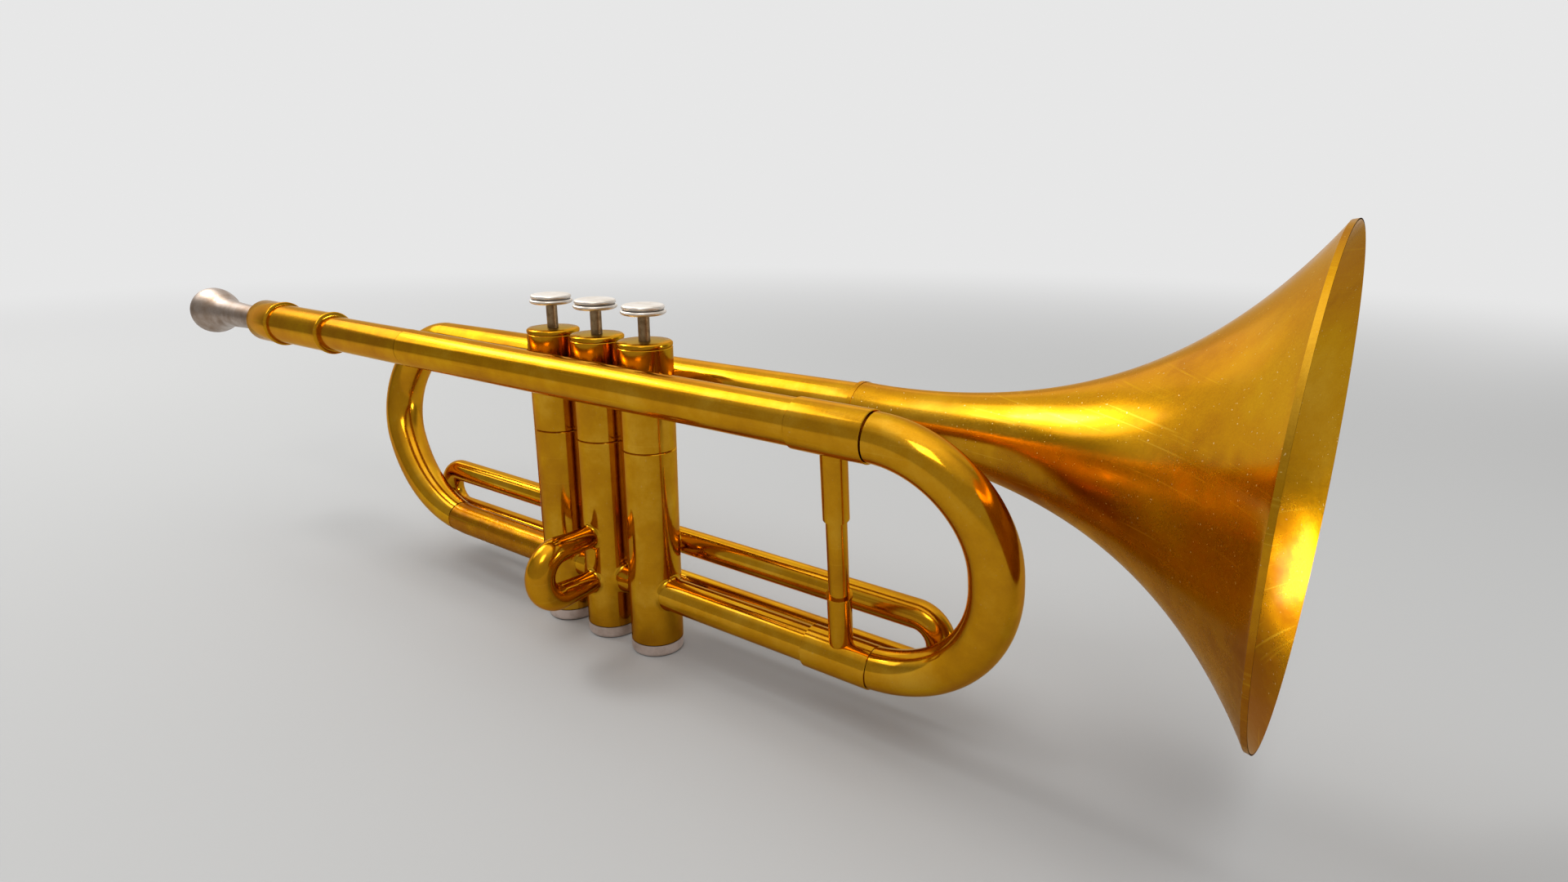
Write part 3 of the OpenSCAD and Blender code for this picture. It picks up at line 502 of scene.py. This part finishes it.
sideSlides = dict(low=20.0, high=38.7, side=16.2, radius=5.0, legRadius=4.35, wall=0.6, gap=0.06, cover=1.0,
                  sides=48, step=6.0)
slideEnds = dict(first=dict(far=-130.2, seam=-104.0, leg=40.0), third=dict(far=137.4, seam=88.0, leg=50.0))
secondSlide = dict(far=-34.4, seam=-19.5, low=24.0, high=42.7, leg=8.0, legRadius=3.95, radii=(4.6, 5.5, 4.6),
                   gap=0.05, cover=1.0, rootEnd=-8.7, rootMiddle=4.42, root=4.2, sides=56, legSides=48, step=5.0)


def makeSideBow(name, ends, size):
    far, seam, leg = abs(ends["far"]), abs(ends["seam"]), ends["leg"]
    way = 1 if ends["far"] > 0 else -1
    bend = (size["high"] - size["low"]) / 2
    flat = [(seam + size["gap"], 0), *arc(far - bend, bend, bend, -90, 90, size["step"]),
            (seam + size["gap"], 2 * bend)]
    route = [(way * x, size["side"], size["low"] + h) for x, h in flat]
    meshes = [bentTube(route, (size["radius"],) * 3, size["sides"])]
    outer, inner = size["legRadius"], size["legRadius"] - size["wall"]
    tip, root = way * (seam - leg), way * (seam + size["cover"])
    for z in (size["low"], size["high"]):
        meshes.append(turned([(tip, outer), (root, outer), (root, inner), (tip, inner)], (0, size["side"], z),
                             sides=size["sides"]))
    putPiece(f"{name}SlideBow", joined(meshes), f"{name}_slide", "tube_brass", f"{name}_slide_bow")


for name, ends in slideEnds.items():
    makeSideBow(name, ends, sideSlides)


def makeSecondSlide(size):
    bend = (size["high"] - size["low"]) / 2
    seam, sides = size["seam"], size["sides"]
    flat = [(-seam + size["gap"], 0), *arc(-size["far"] - bend, bend, bend, -90, 90, size["step"]),
            (-seam + size["gap"], 2 * bend)]
    bow = [bentTube([(0, -x, size["low"] + h) for x, h in flat], size["radii"], sides)]
    roots = []
    for z in (size["low"], size["high"]):
        bow.append(bentTube([(0, seam - size["cover"], z), (0, seam + size["leg"], z)], (size["legRadius"],) * 3,
                            size["legSides"]))
        roots.append(bentTube([(0, seam, z), (0, size["rootEnd"], z)],
                              (size["radii"][0], size["rootMiddle"], size["root"]), sides))
    putPiece("secondSlideBow", joined(bow), "second_slide", "tube_brass", "second_slide_bow")
    putPiece("secondSlideRoots", joined(roots), "horn", "tube_brass", "second_slide_outer")


makeSecondSlide(secondSlide)
print("slides bent")


# the valve springs: a round wire on a spiral

springShape = dict(turns=8.0, wire=0.5, steps=24, sides=12, travel=8.4, room=0.05)


def makeSpringTree():
    tree, given, out = newTree("coilSpring", turns="Float", coilRadius="Float", height="Float", wire="Float",
                               steps="Int", sides="Int", place="Vector", finish="Material")
    spiral = addNode(tree, "GeometryNodeCurveSpiral")
    feedAll(tree, spiral, {"Resolution": given["steps"], "Rotations": given["turns"], "Height": given["height"],
                           "Start Radius": given["coilRadius"], "End Radius": given["coilRadius"]})
    placed = addNode(tree, "GeometryNodeTransform")
    feedAll(tree, placed, {"Geometry": tubeAlong(tree, spiral.outputs[0], given["sides"], given["wire"]),
                           "Translation": given["place"]})
    finishTree(tree, placed.outputs[0], given["finish"], out)
    return tree


def makeSprings(size):
    tree = makeSpringTree()
    wire, travel, room = (size[k] * millimetre for k in ("wire", "travel", "room"))
    for number in (1, 2, 3):
        low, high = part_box(f"valve_spring_{number}")
        middle, tall = (low + high) / 2, high.z - low.z
        mesh = grown(tree, turns=size["turns"], coilRadius=(high.x - low.x) / 2 - wire, height=tall - 2 * wire,
                     wire=wire, steps=size["steps"], sides=size["sides"], place=(middle.x, middle.y, low.z + wire),
                     finish=finishes["spring_steel"])
        spring = putPiece(f"valveSpring{number}", mesh, "horn", "spring_steel", f"valve_spring_{number}")
        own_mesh(spring)


makeSprings(springShape)
print("springs wound")


# the bell: its radius follows one rule along the axis, outside, round the chamfered rim and back inside

bellShape = dict(jointPlace=0.1041, rimPlace=0.2309, jointRadius=0.0101, rimRadius=0.0658, slope=-0.09, steepness=1.84,
                 lateness=1.38, wall=0.0009, chamferWidth=0.0014, chamferDepth=0.0013, rimSwell=0.0005, swellPower=8.0,
                 crowding=1.5, probe=0.0002, weld=0.00002, along=72, across=4, around=192)


def makeBellTree():
    tree, given, out = newTree("flaredBell", jointPlace="Float", rimPlace="Float", jointRadius="Float",
                               rimRadius="Float", slope="Float", steepness="Float", lateness="Float", wall="Float",
                               chamferWidth="Float", chamferDepth="Float", rimSwell="Float", swellPower="Float",
                               crowding="Float", probe="Float", weld="Float", centre="Vector", along="Int",
                               across="Int", around="Int", finish="Material")
    joint, rim, probe = given["jointPlace"], given["rimPlace"], given["probe"]

    def flareAt(place):  # the rule: an even slope, and on it a rise that comes late and steeply
        run, length = less(tree, place, joint), less(tree, rim, joint)
        q = maths(tree, "MAXIMUM", maths(tree, "DIVIDE", run, length), 0.0)
        late = times(tree, given["steepness"], maths(tree, "POWER", q, given["lateness"]))
        part = maths(tree, "DIVIDE", less(tree, maths(tree, "EXPONENT", late), 1.0),
                     less(tree, maths(tree, "EXPONENT", given["steepness"]), 1.0))
        rise = less(tree, less(tree, given["rimRadius"], given["jointRadius"]), times(tree, given["slope"], length))
        sloped = added(tree, given["jointRadius"], times(tree, given["slope"], run))
        return added(tree, sloped, times(tree, rise, part))

    def sheet(placeOf, radiusOf, rings):  # a grid rolled up round the axis
        grid = addNode(tree, "GeometryNodeMeshGrid")
        feedAll(tree, grid, {"Size X": 1.0, "Size Y": 1.0, "Vertices X": rings, "Vertices Y": given["around"]})
        spot = partsOf(tree, addNode(tree, "GeometryNodeInputPosition").outputs[0])
        u = added(tree, spot[0], 0.5)
        turn = times(tree, added(tree, spot[1], 0.5), 2 * math.pi)
        place = placeOf(u)
        radius = radiusOf(u, place)
        moved = addNode(tree, "ShaderNodeCombineXYZ")
        feedAll(tree, moved, {"X": place, "Y": times(tree, radius, maths(tree, "COSINE", turn)),
                              "Z": times(tree, radius, maths(tree, "SINE", turn))})
        put = addNode(tree, "GeometryNodeSetPosition")
        feedAll(tree, put, {"Geometry": grid.outputs[0],
                            "Position": vectorMaths(tree, "ADD", moved.outputs[0], given["centre"])})
        return put.outputs[0]

    edge = less(tree, rim, given["chamferWidth"])
    run = less(tree, edge, joint)
    lip = less(tree, given["rimRadius"], given["chamferDepth"])

    def outsidePlace(u):  # its rings stand closer together near the rim
        near = less(tree, 1.0, maths(tree, "POWER", less(tree, 1.0, u), given["crowding"]))
        return added(tree, joint, times(tree, run, near))

    def outsideRadius(u, place):
        return added(tree, flareAt(place), times(tree, maths(tree, "POWER", u, given["swellPower"]), given["rimSwell"]))

    def chamferPlace(u):
        return added(tree, edge, times(tree, given["chamferWidth"], u))

    def chamferRadius(u, place):
        start = added(tree, flareAt(edge), given["rimSwell"])
        return added(tree, times(tree, start, less(tree, 1.0, u)), times(tree, lip, u))

    def insidePlace(u):
        return less(tree, rim, times(tree, less(tree, rim, joint), maths(tree, "POWER", u, given["crowding"])))

    def insideRadius(u, place):  # the wall is measured square to the sheet
        before = flareAt(less(tree, place, probe))
        rise = maths(tree, "DIVIDE", less(tree, flareAt(place), before), probe)
        slant = maths(tree, "SQRT", added(tree, 1.0, times(tree, rise, rise)))
        return maths(tree, "MINIMUM", less(tree, flareAt(place), times(tree, given["wall"], slant)), lip)

    whole = addNode(tree, "GeometryNodeJoinGeometry")
    for part in (sheet(outsidePlace, outsideRadius, given["along"]),
                 sheet(chamferPlace, chamferRadius, given["across"]),
                 sheet(insidePlace, insideRadius, given["along"])):
        tree.links.new(part, whole.inputs[0])
    welded = addNode(tree, "GeometryNodeMergeByDistance")
    feedAll(tree, welded, {"Geometry": whole.outputs[0], "Distance": given["weld"]})
    finishTree(tree, welded.outputs[0], given["finish"], out)
    return tree


def makeBell(size):
    centre = [0, *(v * millimetre for v in lines["bell"])]
    mesh = grown(makeBellTree(), finish=finishes["bell_brass"], centre=centre, **size)
    putPiece("bellFlare", joined([mesh], outward=True), "horn", "bell_brass", "bell_flare")


makeBell(bellShape)
print("bell flared")


# the mouthpiece, turned

mouthpieceShape = dict(
    rimFace=-286.0, tip=-200.9, tipRadius=4.9, tipBore=4.3, throatPlace=22.0, throat=1.85, steps=5, sides=128,
    outside=((0.35, 9.2), (0.0, 9.9), (0.35, 10.7), (1.3, 11.35), (2.6, 11.8), (4.2, 11.85), (6.5, 11.6), (10.0, 10.75),
             (14.5, 9.2), (19.0, 7.85), (23.5, 7.0), (28.0, 6.62), (36.0, 6.28), (44.5, 5.99), (55.0, 5.72),
             (63.1, 5.58)),
    cup=((10.0, 1.85), (9.6, 3.2), (8.3, 5.2), (6.0, 6.7), (3.2, 7.5), (1.2, 7.95), (0.35, 8.5)))


def makeMouthpiece(size):
    face, tip = size["rimFace"], size["tip"]
    outline = [(face + x, r) for x, r in smoothLine(size["outside"], size["steps"])]
    outline += [(tip, size["tipRadius"]), (tip, size["tipBore"]), (face + size["throatPlace"], size["throat"])]
    outline += [(face + x, r) for x, r in smoothLine(size["cup"], size["steps"])]
    mesh = turned(outline, (0, *lines["mouthpipe"]), sides=size["sides"])
    putPiece("mouthpieceTurned", mesh, "mouthpiece", "polished_silver", "mouthpiece")


makeMouthpiece(mouthpieceShape)


# the tubes along X, turned with their rolled beads, seams and steps
# the mouthpipe's edge is (place, radius) counted from its start, and its seam is the same counted from the joint

tubeSides = 144
mouthpipeShape = dict(
    start=-222.9, edge=((0.3, 5.7), (0.0, 6.1), (0.0, 9.55), (0.15, 9.85), (0.5, 10.0)), endRadius=10.0, midRadius=9.15,
    firstBead=-204.4, lastBead=-158.4, beadWidth=1.35, beadHeight=0.55, beadSteps=8, end=-156.6, endBore=6.3,
    innerPlace=23.0, bore=4.7, stub=7.8, stubStep=0.05,
    joint=-95.0, seam=((-0.22, 7.8), (-0.18, 7.5), (0.10, 7.5), (0.14, 7.88), (0.5, 7.88), (1.4, 7.78)),
    front=7.25, groove=103.95, grooveWidth=0.02, grooveDepth=0.28, intoSleeve=112.0, wall=0.6)
sleeveShapes = dict(
    upper=dict(start=104.3, end=129.4, radius=7.8, bore=6.72, line=lines["mouthpipe"], backEdge=0.14, frontEdge=0.22),
    lower=dict(start=98.2, end=122.7, radius=7.25, bore=6.65, line=lines["low"], backEdge=0.14, frontEdge=0.22))
bellTailShape = dict(start=-123.7, middle=-49.3, widens=28.0, end=104.1, startRadius=8.0, middleRadius=8.7,
                     endRadius=9.5, wall=0.6, edge=0.2, steps=8)


def bead(start, low, high, size):  # a rolled ring on the radius low, with the radius high behind it
    width, height, steps = size["beadWidth"], size["beadHeight"], size["beadSteps"]
    ring = [(start + width * k / steps, low + height * math.sin(math.pi * k / steps)) for k in range(steps)]
    return ring + [(start + 0.97 * width, min(low, high) + 0.02), (start + 1.25 * width, high)]


def makeMouthpipe(size):
    start, stub, front = size["start"], size["stub"], size["front"]
    receiver = [(start + x, r) for x, r in size["edge"]]
    receiver += bead(size["firstBead"], size["endRadius"], size["midRadius"], size)
    receiver += bead(size["lastBead"], size["midRadius"], stub + size["stubStep"], size)
    receiver += [(size["end"], size["endBore"]), (start + size["innerPlace"], size["bore"])]
    mesh = turned(receiver, (0, *lines["mouthpipe"]), sides=tubeSides)
    putPiece("mouthpipeReceiver", mesh, "horn", "tube_brass", "mouthpiece_receiver")
    low = front - size["grooveDepth"]
    pipe = [(size["lastBead"], size["bore"]), (size["lastBead"], stub)]
    pipe += [(size["joint"] + x, r) for x, r in size["seam"]]
    pipe += [(size["groove"], front), (size["groove"] + size["grooveWidth"], low), (size["intoSleeve"], low),
             (size["intoSleeve"], front - size["wall"])]
    mesh = turned(pipe, (0, *lines["mouthpipe"]), sides=tubeSides)
    putPiece("mouthpipeTube", mesh, "horn", "tube_brass", "receiver_tube", "leadpipe")


def makeSleeves(shapes):
    for name, size in shapes.items():
        start, end, radius, bore = (size[k] for k in ("start", "end", "radius", "bore"))
        back, front = size["backEdge"], size["frontEdge"]
        outline = [(start, bore), (start, radius - back), (start + back, radius), (end - front, radius),
                   (end, radius - front), (end, bore)]
        mesh = turned(outline, (0, *size["line"]), sides=tubeSides)
        putPiece(name + "SleeveTurned", mesh, "horn", "tube_brass", name + "_sleeve")


def makeBellTail(size):
    start, end, edge, wall = (size[k] for k in ("start", "end", "edge", "wall"))
    outside = smoothLine([(start, size["startRadius"]), (size["middle"], size["middleRadius"]),
                          (size["widens"], size["middleRadius"]), (end - edge, size["endRadius"])], size["steps"])
    outline = [(x, r) for x, r in outside] + [(end, size["endRadius"] - edge), (end, size["endRadius"] - wall),
                                              (start, size["startRadius"] - wall)]
    mesh = turned(outline, (0, *lines["bell"]), sides=tubeSides)
    putPiece("bellTail", mesh, "horn", "tube_brass", "bell_tail")


makeMouthpipe(mouthpipeShape)
makeSleeves(sleeveShapes)
makeBellTail(bellTailShape)


# the valves' top caps and finger buttons, turned

valvePlaces = (-24.66, 0.0, 24.66)
topCapShape = dict(hole=2.18, low=114.0, inside=8.9, top=120.2, sides=128,
                   edge=((118.4, 9.0), (118.4, 9.55), (118.66, 9.55), (118.70, 9.88), (118.80, 10.0), (119.62, 10.0),
                         (119.74, 9.95), (120.08, 9.55), (120.2, 9.38)))
buttonShape = dict(underside=129.2, stemHole=2.1, holeDepth=1.4, height=4.0, steps=5, sides=96,
                   edge=((0.0, 3.4), (0.12, 5.4), (0.35, 7.0), (0.8, 7.85), (1.25, 8.1), (1.7, 7.95), (1.98, 7.5),
                         (2.08, 6.95), (2.38, 6.9), (2.5, 7.4), (2.9, 7.6), (3.35, 7.5), (3.72, 7.1), (3.92, 6.3),
                         (3.98, 4.5), (4.0, 2.2)))


def makeTopCaps(size):
    for number, x in enumerate(valvePlaces, 1):
        outline = [(size["low"], size["hole"]), (size["low"], size["inside"]), *size["edge"],
                   (size["top"], size["hole"])]
        mesh = turned(outline, (x, 0, 0), along="Z", sides=size["sides"])
        putPiece(f"topCap{number}", mesh, "horn", "cap_brass", f"top_cap_{number}")


makeTopCaps(topCapShape)
print("tubes and caps turned")


def makeButtons(size):
    hole, depth = size["stemHole"], size["holeDepth"]
    for number, x in enumerate(valvePlaces, 1):
        outline = [(depth, 0.0), (depth, hole), (0.0, hole), *smoothLine(size["edge"], size["steps"]),
                   (size["height"], 0.0)]
        mesh = turned(outline, (x, 0, size["underside"]), along="Z", sides=size["sides"])
        putPiece(f"fingerButton{number}", mesh, f"valve_{number}", "button_silver", f"finger_button_{number}")


makeButtons(buttonShape)
print("mouthpiece and buttons turned")


# soft soldered corners where the round tubes run into the round casings

solder = dict(width=1.5, steps=6, around=72, casing=10.0, skin=0.03, widest=9.4, depth=0.6)
first, second, third = valvePlaces
knuckle = dict(line=(0.0, 25.0), radius=5.7)
solderJoints = [  # casing's X, the side of it that the tube leaves from, tube's (y, z), tube's radius
    (third, 1, lines["low"], 6.2), (first, -1, lines["low"], 6.55),
    *((x, way, knuckle["line"], knuckle["radius"]) for x, way in ((first, 1), (second, -1), (second, 1), (third, -1)))]
solderFronts = [  # casing's X, tube's z, tube's radius: the second slide's tubes leave its casing towards -Y
    (second, secondSlide["low"], 4.25), (second, secondSlide["high"], 4.25)]


def makeSolder(size):
    shape = bmesh.new()
    big, width, skin, steps = size["casing"], size["width"], size["skin"], size["steps"]

    def strip(tubePoint, wallPoint, corner):  # each gives the place at an angle round the tube
        rows = []
        for k in range(size["around"]):
            t = 2 * math.pi * k / size["around"]
            a, m, b = (Vector(spot(t)) for spot in (tubePoint, corner, wallPoint))
            row = [(1 - s) ** 2 * a + 2 * s * (1 - s) * m + s * s * b for s in (n / steps for n in range(steps + 1))]
            row.append(m + (m - (a + b) / 2) * size["depth"])
            rows.append([shape.verts.new(p * millimetre) for p in row])
        for k, row in enumerate(rows):
            after = rows[(k + 1) % len(rows)]
            for n in range(len(row)):
                m = (n + 1) % len(row)
                shape.faces.new((row[n], after[n], after[m], row[m]))

    for casingX, way, (y, z), r in solderJoints:
        def onCasing(t, radius, out=0.0):
            side = y + radius * math.cos(t)
            depth = math.sqrt(max(big ** 2 - side ** 2, 0.01))
            return casingX + way * (depth + out), side, z + radius * math.sin(t)
        strip(lambda t: onCasing(t, r + skin, width), lambda t: onCasing(t, min(r + width, size["widest"]), skin),
              lambda t: onCasing(t, r))
    for casingX, z, r in solderFronts:
        def onFront(t, radius, out=0.0):
            side = radius * math.cos(t)
            return casingX + side, -(math.sqrt(big ** 2 - side ** 2) + out), z + radius * math.sin(t)
        strip(lambda t: onFront(t, r + skin, width), lambda t: onFront(t, r + width, skin), lambda t: onFront(t, r))
    putPiece("solderedCorners", meshFrom(shape), "horn", "casing_brass")


makeSolder(solder)
print("corners soldered")


# the studio: a pale floor that runs into a pale backdrop, darker behind the camera, and five soft lamps

studio = dict(floor=(0.42, 0.42, 0.415), floorRadius=12.0, floorRough=0.9, nearFloor=0.45, farFloor=1.6,
              backdrop=0.80, behind=0.42, zenith=1.5, away=(-0.595, 0.804, 0.0))
lamps = dict(
    keyLamp=dict(spot=(-1.0, -0.14, 1.04), size=(0.32, 0.32), watts=5.6),
    softLamp=dict(spot=(-1.0, -0.12, 1.0), size=(0.9, 0.9), watts=5.2),
    frontLamp=dict(spot=(0.43, -0.75, 1.11), size=(0.45, 0.45), watts=3.4),
    rightLamp=dict(spot=(1.28, 0.50, 0.19), size=(0.26, 0.20), watts=2.2),
    backLamp=dict(spot=(-0.84, 0.94, 0.69), size=(0.7, 0.5), watts=0.5))
lampAim = (0, 0, 0.08)


def backdropTone(tree, direction, look):  # pale on the far side of the object, darker on the near side
    facing = vectorMaths(tree, "DOT_PRODUCT", direction, look["away"], result="Value")
    side = added(tree, times(tree, facing, 0.5), 0.5)
    behind = look["behind"]
    tone = ramp(tree, side, (0.0, behind), (0.40, behind - 0.06), (0.60, behind - 0.16), (0.80, look["backdrop"]))
    tone.node.color_ramp.interpolation = "EASE"
    return tone


def makeFloor(look):
    bpy.ops.mesh.primitive_circle_add(vertices=96, radius=look["floorRadius"], fill_type="NGON", location=(0, 0, 0))
    floor = bpy.context.object
    floor.name = "studioFloor"
    material, tree, shader = newMaterial("paleFloor")
    feedAll(tree, shader, {"Base Color": (*look["floor"], 1), "Roughness": look["floorRough"]})
    place = addNode(tree, "ShaderNodeTexCoord").outputs["Object"]
    glow = addNode(tree, "ShaderNodeEmission")
    feed(tree, glow.inputs["Color"], backdropTone(tree, vectorMaths(tree, "NORMALIZE", place), look))
    reach = vectorMaths(tree, "LENGTH", place, result="Value")
    blended = addNode(tree, "ShaderNodeMixShader")
    for socket, value in zip(blended.inputs, (softStep(tree, reach, look["nearFloor"], look["farFloor"], 0.0, 1.0),
                                              shader.outputs[0], glow.outputs[0])):
        feed(tree, socket, value)
    feed(tree, tree.nodes["Material Output"].inputs["Surface"], blended.outputs[0])
    floor.data.materials.append(material)


def makeSky(look):
    world = bpy.data.worlds.new("softSky")
    bpy.context.scene.world = world
    world.use_nodes = True
    tree = world.node_tree
    direction = addNode(tree, "ShaderNodeTexCoord").outputs["Generated"]
    level = vectorMaths(tree, "NORMALIZE", vectorMaths(tree, "MULTIPLY", direction, (1, 1, 0)))
    up = ramp(tree, partsOf(tree, direction)[2], (0.50, 0.0), (0.80, 0.35), (0.96, 1.0))
    tone = mixColour(tree, up, backdropTone(tree, level, look), (look["zenith"],) * 3)
    feed(tree, tree.nodes["Background"].inputs["Color"], tone)


def makeLamps(shapes, aim):
    for name, look in shapes.items():
        lamp = bpy.data.lights.new(name, "AREA")
        lamp.shape = "RECTANGLE"
        lamp.size, lamp.size_y = look["size"]
        lamp.energy = look["watts"]
        holder = bpy.data.objects.new(name, lamp)
        bpy.context.scene.collection.objects.link(holder)
        holder.location = look["spot"]
        holder.rotation_euler = (Vector(aim) - Vector(look["spot"])).to_track_quat("-Z", "Y").to_euler()


makeFloor(studio)
makeSky(studio)
makeLamps(lamps, lampAim)

# the photograph's camera
view = dict(place=(0.24797, -0.2193, 0.17496), tilt=73.466, roll=0.0, pan=36.457, lens=20.264, sensor=36.0, near=0.01)
camera = bpy.data.objects.new("photoCamera", bpy.data.cameras.new("photoCamera"))
bpy.context.scene.collection.objects.link(camera)
camera.location = view["place"]
camera.rotation_euler = [math.radians(view[k]) for k in ("tilt", "roll", "pan")]
camera.data.sensor_width = view["sensor"]
camera.data.lens = view["lens"]
camera.data.clip_start = view["near"]
bpy.context.scene.camera = camera
bpy.context.scene.view_settings.view_transform = "Standard"

print("studio and camera ready")
